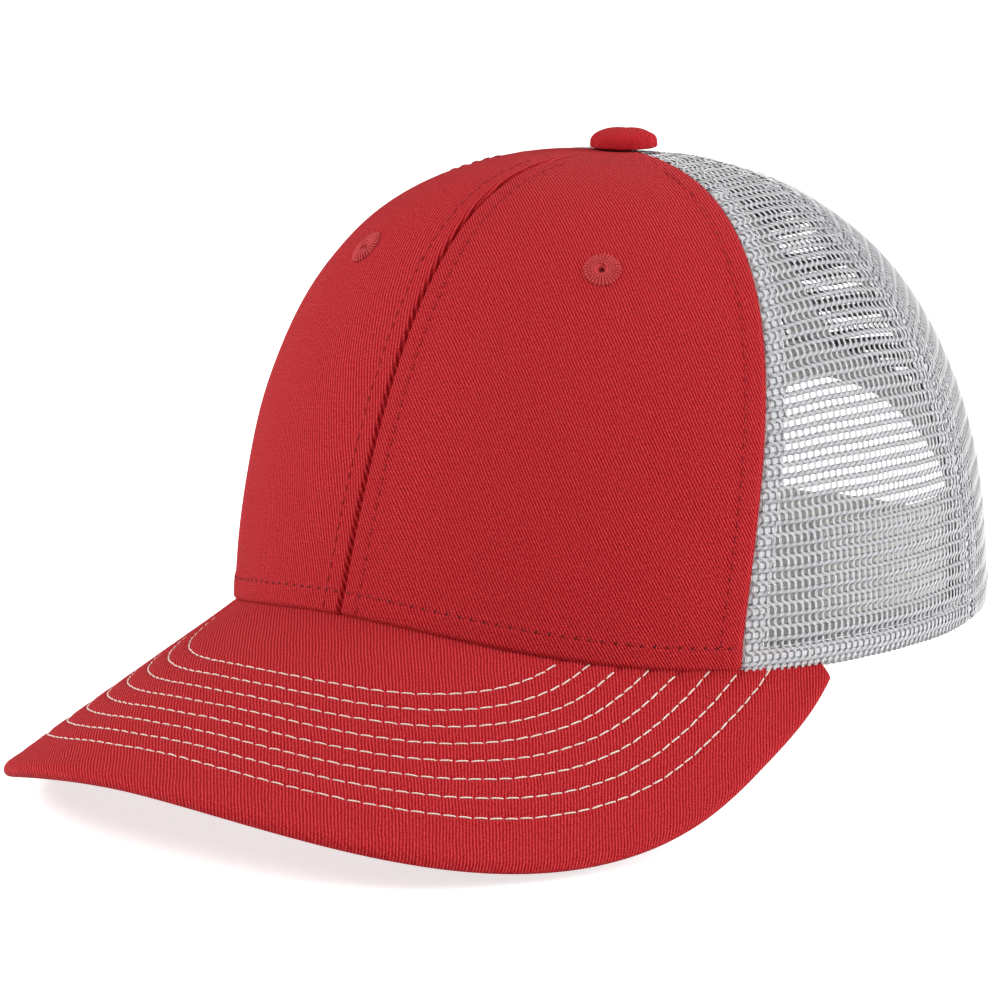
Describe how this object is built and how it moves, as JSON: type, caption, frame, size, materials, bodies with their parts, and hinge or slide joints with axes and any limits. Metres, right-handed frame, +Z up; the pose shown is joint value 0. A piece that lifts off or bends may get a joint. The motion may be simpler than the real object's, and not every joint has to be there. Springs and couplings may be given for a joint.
{
  "type": "trucker mesh cap",
  "caption": "Adjustable cap with stiff twill front panels, open mesh sides and back, a curved stitched bill and a plastic snap strap across a rear arch.",
  "frame": {"origin": "centre of the head opening, on the plane of the crown's lower edge", "axes": "+Z up through the crown, -Y towards the bill, +X to the wearer's left"},
  "size_m": [0.1764, 0.252, 0.1453],
  "materials": {
    "red_twill": "cotton twill",
    "white_mesh": "polyester mesh",
    "stiffener": "stiff open weave",
    "white_tape": "woven tape",
    "sweat_cloth": "brushed cotton",
    "red_thread": "polyester thread",
    "white_thread": "polyester thread",
    "metal": "satin",
    "bill_plastic": "moulded",
    "strap_plastic": "moulded"
  },
  "bodies": {
    "crown": {"front_panel_left": "red_twill", "front_panel_right": "red_twill", "side_mesh_left": "white_mesh", "side_mesh_right": "white_mesh", "rear_mesh_left": "white_mesh", "rear_mesh_right": "white_mesh", "buckram_left": "stiffener", "buckram_right": "stiffener", "front_seam_tape": "white_tape", "front_side_tape_left": "white_tape", "front_side_tape_right": "white_tape", "rear_side_tape_left": "white_tape", "rear_side_tape_right": "white_tape", "rear_seam_tape": "white_tape", "crown_stitching": "red_thread", "eyelet_left": "red_thread", "eyelet_right": "red_thread", "button_cover": "red_twill", "button_shell": "metal", "button_rivet": "metal", "button_washer": "metal", "bill_top_cover": "red_twill", "bill_board": "bill_plastic", "bill_under_cover": "red_twill", "bill_stitching": "white_thread", "sweatband": "sweat_cloth", "sweatband_padding": "stiffener", "arch_binding": "white_tape", "peg_strap_tab": "strap_plastic", "hole_strap_tab": "strap_plastic", "strap_stitching": "white_thread"},
    "peg_half": {"peg_strap": "strap_plastic"},
    "hole_half": {"hole_strap": "strap_plastic"},
    "label": {"care_label": "white_tape"}
  },
  "joints": [
    {"name": "peg_strap_swing", "type": "hinge", "parent": "crown", "child": "peg_half", "pos_m": [-0.03652, 0.08193, 0.007], "axis": [0, 0, -1], "range_deg": [0, 60]},
    {"name": "hole_strap_swing", "type": "hinge", "parent": "crown", "child": "hole_half", "pos_m": [0.03706, 0.08343, 0.007], "axis": [0, 0, -1], "range_deg": [0, 70]},
    {"name": "care_label_flap", "type": "hinge", "parent": "crown", "child": "label", "pos_m": [0.05857, 0.05504, 0.0317], "axis": [-0.5911, 0.8066, 0], "range_deg": [0, 95]}
  ]
}
